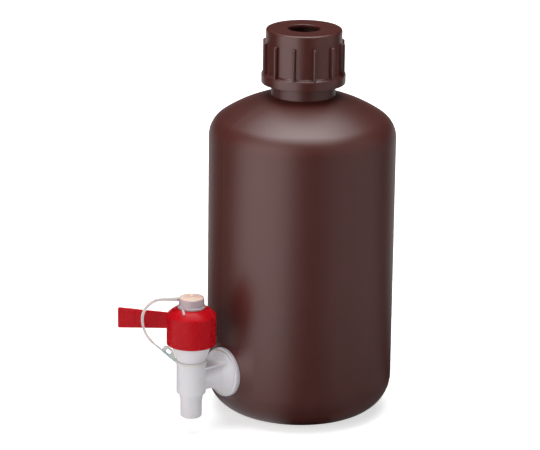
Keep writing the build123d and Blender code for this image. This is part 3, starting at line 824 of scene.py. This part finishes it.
# %% Floor and surroundings
def shown_white(recipe_nodes, links):
    """1 for the rays that should see the white studio: from the camera, reflected, or seen through."""
    rays = recipe_nodes.new("ShaderNodeLightPath")
    total = rays.outputs["Is Camera Ray"]
    for ray in ("Is Glossy Ray", "Is Transmission Ray"):
        either = recipe_nodes.new("ShaderNodeMath")
        either.operation = "MAXIMUM"
        links.new(total, either.inputs[0])
        links.new(rays.outputs[ray], either.inputs[1])
        total = either.outputs[0]
    return total


NEAR_GLOW, FAR_GLOW, SHADOW_R, SHADOW_FADE = 0.62, 0.5, 0.25, 0.6
select_only()
bpy.ops.mesh.primitive_plane_add(size=12, location=(0, 0, -0.0002))
floor = bpy.context.object
floor.name = "studio_floor"
bpy.ops.object.transform_apply(location=True, rotation=True, scale=True)
floor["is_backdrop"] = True
paper = Recipe("floor_white", 0.9, Specular_IOR_Level=0.0)
distance = (paper.x * paper.x + paper.y * paper.y) ** 0.5
seen = Signal(paper, shown_white(paper.tree.nodes, paper.tree.links))
glow = (NEAR_GLOW + ((distance - SHADOW_R) / SHADOW_FADE).limited() * FAR_GLOW) * seen
paper.shader.inputs["Base Color"].default_value = (0.78, 0.78, 0.78, 1)
emission = paper.node("ShaderNodeEmission", {}, {"Strength": glow})
both = paper.node("ShaderNodeAddShader", {}, {0: emission, 1: Signal(paper, paper.shader.outputs[0])})
paper.tree.links.new(both.socket, paper.tree.nodes["Material Output"].inputs["Surface"])
floor.data.materials.append(paper.material)

world = bpy.data.worlds.new("studio")
bpy.context.scene.world = world
world.use_nodes = True
nodes, links = world.node_tree.nodes, world.node_tree.links
level = nodes.new("ShaderNodeMapRange")
level.inputs["To Min"].default_value = 0.38
level.inputs["To Max"].default_value = 1.0
links.new(shown_white(nodes, links), level.inputs["Value"])
links.new(level.outputs[0], nodes["Background"].inputs["Strength"])
print("floor and surroundings ready")

# %% [markdown]
# Wide soft boxes light the object: a large one to the left of the camera, a weaker one to the right, and one
# overhead for the shoulder, with a narrow brighter strip across it for the thin lines on the rims. What a
# bottle mirrors matters as much as what lights it. A ring of cards that only reflections can see stands round
# the object, and lies on the table in front of it: bright where the boxes are, and dark between them, so that
# long soft bands show that the bottle is round.

# %% Lamps
CAMERA_DEG = 320.0


def around(turn_deg, distance, height):
    """A place at this level angle from the camera's side, to its right if positive."""
    return outward(CAMERA_DEG + turn_deg) * distance + UP * height


def soft_box(name, place, aim, width, height, watts, mirrored=True):
    light = bpy.data.lights.new(name, "AREA")
    light.shape, light.size, light.size_y, light.energy = "RECTANGLE", width, height, watts
    lamp = bpy.data.objects.new(name, light)
    bpy.context.scene.collection.objects.link(lamp)
    lamp.location = place
    lamp.rotation_euler = (Vector(aim) - place).to_track_quat("-Z", "Y").to_euler()
    lamp.visible_camera = False
    lamp.visible_glossy = mirrored


middle = (0, -0.03, 0.17)
soft_box("key", around(-42, 1.6, 0.75), middle, 1.6, 1.3, 13.5, mirrored=False)
soft_box("side", around(66, 1.7, 0.65), middle, 1.4, 1.2, 6, mirrored=False)
soft_box("top", around(180, 0.05, 1.75), (0, 0, 0.3), 1.9, 1.75, 30)
soft_box("strip", around(180, 0.10, 1.75), (0, 0, 0.3), 1.2, 0.36, 7)
print("four soft boxes")

# %% Cards that only reflections see
def card(name, height):
    """A stage piece on the open end of a wide cylinder: the wall above the table, or the table itself."""
    select_only()
    bpy.ops.mesh.primitive_cylinder_add(vertices=96, radius=2.2, depth=height, end_fill_type="NOTHING",
                                        location=(0, 0, height / 2 + 0.001))
    made = bpy.context.object
    made.name = name
    return made


def band(recipe, turn_deg, half_width_deg, soft_deg, strength):
    """Light from this level angle, fading out softly past half its width."""
    toward = outward(CAMERA_DEG + turn_deg)
    facing = recipe.x * toward.x + recipe.y * toward.y
    aside = recipe.y * toward.x - recipe.x * toward.y
    angle = abs(aside.maths("ARCTAN2", facing))
    return ((radians(half_width_deg + soft_deg) - angle) / radians(soft_deg)).limited() * strength


wall, table = card("card_wall", 2.4), card("card_table", 0.001)
edit()
bpy.ops.mesh.select_all(action="SELECT")
bpy.ops.mesh.remove_doubles(threshold=0.01)
bpy.ops.mesh.edge_face_add()
leave()
card_light = Recipe("card_light", 0.5)
reach = (card_light.x * card_light.x + card_light.y * card_light.y) ** 0.5
near = ((reach - 0.10) / 0.35).limited() * 0.7 + 0.3
low = 1 - ((card_light.z - 0.05) / 0.35).limited()
glow = (0.05 + band(card_light, -46, 24, 18, 1.85) + band(card_light, 66, 30, 16, 0.48)
        + band(card_light, 180, 32, 26, 0.65) * low) * near
emission = card_light.node("ShaderNodeEmission", {}, {"Strength": glow})
card_light.tree.links.new(emission.socket, card_light.tree.nodes["Material Output"].inputs["Surface"])
for made in (wall, table):
    select_only(made)
    bpy.ops.object.transform_apply(location=True, rotation=True, scale=True)
    made.data.materials.append(card_light.material)
    made.visible_camera = made.visible_diffuse = made.visible_shadow = made.visible_transmission = False
    made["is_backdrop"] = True
print("cards stand round the object")

# %% [markdown]
# The camera looks down a little from the right of the spigot, from nearly three metres with a long lens, so
# the bottle's sides stay almost parallel.

# %% Camera
sight = bpy.data.cameras.new("camera")
sight.lens, sight.sensor_width = 199.36, 36.0
camera = bpy.data.objects.new("camera", sight)
bpy.context.scene.collection.objects.link(camera)
camera.location = (1.95426, -1.63982, 0.95946)
camera.rotation_euler = (radians(72.7792), radians(-0.7249), radians(50.8467))
bpy.context.scene.camera = camera
bpy.context.scene.view_settings.view_transform = "Standard"

# %% [markdown]
# Last, the box of the dressed object is worked out and printed.

# %% Measure and finish
low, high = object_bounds()
print("dressed box:", [round(v, 4) for v in low], [round(v, 4) for v in high])
